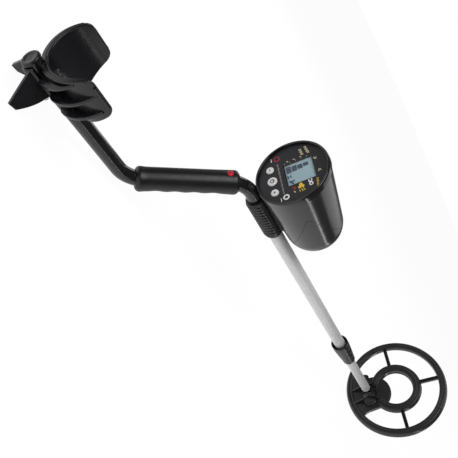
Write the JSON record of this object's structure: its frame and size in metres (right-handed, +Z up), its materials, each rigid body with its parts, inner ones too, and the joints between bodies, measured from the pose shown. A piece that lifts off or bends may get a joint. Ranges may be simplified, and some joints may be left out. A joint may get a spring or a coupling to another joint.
{
  "type": "metal detector",
  "caption": "Walking metal detector with S-bent rod, armrest and stand, control box with display, telescopic stem with twist lock, and a round open tilting search coil.",
  "frame": {"origin": "centre of the footprint on the floor: the midpoint of the object's length, in its plane of symmetry, at the height of the feet's soles", "axes": "+X forwards along the object to the search coil, +Y to the operator's left, +Z up; the detector stands on its two feet and the coil's rear edge"},
  "size_m": [1.2161, 0.23, 0.2707],
  "materials": {
    "gloss_black": "glossy black paint",
    "black_plastic": "satin black moulding",
    "box_plastic": "glossy dark grey moulding",
    "soft_grip": "satin soft-touch black",
    "red_button": "glossy red",
    "key_white": "satin white",
    "panel_film": "printed film",
    "window": "clear window",
    "lcd": "pale blue display",
    "silver_tube": "satin anodised",
    "steel": "zinc plated",
    "collar_rubber": "ribbed rubberised plastic",
    "coil_plastic": "satin charcoal moulding",
    "board_green": "solder mask",
    "cell_wrap": "printed sleeve",
    "copper": "enamelled wire",
    "inner_plastic": "plain black moulding"
  },
  "bodies": {
    "upper": {"s_rod": "gloss_black", "rod_end_cap": "black_plastic", "arm_cuff": "black_plastic", "arm_stand": "black_plastic", "stand_bolts": "steel", "stand_nuts": "steel", "hand_grip": "soft_grip", "button_switch": "inner_plastic", "control_housing": "box_plastic", "face_bezel": "black_plastic", "face_panel": "panel_film", "display_window": "window", "display_module": "lcd", "key_switches": "inner_plastic", "main_board": "board_green", "board_screws": "steel", "battery_tray": "inner_plastic", "batteries": "cell_wrap", "speaker": "inner_plastic", "headphone_socket": "steel", "sleeve_screws": "steel", "middle_tube": "silver_tube", "lock_collet": "inner_plastic"},
    "button": {"push_button": "red_button"},
    "key_l": {"left_key": "key_white"},
    "key_m": {"middle_key": "key_white"},
    "key_r": {"right_key": "key_white"},
    "cover": {"battery_cover": "box_plastic"},
    "collar": {"lock_collar": "collar_rubber"},
    "lower": {"lower_tube": "silver_tube", "tube_bush": "inner_plastic", "end_fitting": "black_plastic", "rubber_washers": "collar_rubber"},
    "coil": {"coil_shell": "coil_plastic", "coil_cover": "coil_plastic", "transmit_winding": "copper", "receive_winding": "copper", "pivot_bolt": "black_plastic", "cable_gland": "collar_rubber"},
    "knob": {"pivot_knob": "collar_rubber"}
  },
  "joints": [
    {"name": "stem_slide", "type": "slide", "parent": "upper", "child": "lower", "axis": [-0.9934, 0, 0.1143], "range_m": [-0.15, 0.14]},
    {"name": "coil_tilt", "type": "hinge", "parent": "lower", "child": "coil", "pos_m": [0.54542, 0, 0.05519], "axis": [0, 1, 0], "range_deg": [-80, 80]},
    {"name": "knob_turn", "type": "hinge", "parent": "coil", "child": "knob", "pos_m": [0.54542, 0.028, 0.05519], "axis": [0, 1, 0], "range_deg": [0, 360]},
    {"name": "collar_turn", "type": "hinge", "parent": "upper", "child": "collar", "pos_m": [0.31693, 0, 0.08148], "axis": [0.9934, 0, -0.1143], "range_deg": [0, 120]},
    {"name": "button_press", "type": "slide", "parent": "upper", "child": "button", "axis": [0.7762, 0, -0.6305], "range_m": [0, 0.002], "stiffness_N_per_m": 500, "springref_m": -0.002},
    {"name": "left_key_press", "type": "slide", "parent": "upper", "child": "key_l", "axis": [0.9981, 0, -0.0622], "range_m": [0, 0.0008], "stiffness_N_per_m": 900, "springref_m": -0.0008},
    {"name": "middle_key_press", "type": "slide", "parent": "upper", "child": "key_m", "axis": [0.9981, 0, -0.0622], "range_m": [0, 0.0008], "stiffness_N_per_m": 900, "springref_m": -0.0008},
    {"name": "right_key_press", "type": "slide", "parent": "upper", "child": "key_r", "axis": [0.9981, 0, -0.0622], "range_m": [0, 0.0008], "stiffness_N_per_m": 900, "springref_m": -0.0008},
    {"name": "cover_pull", "type": "slide", "parent": "upper", "child": "cover", "axis": [0.9888, 0, -0.1489], "range_m": [0, 0.06]}
  ]
}
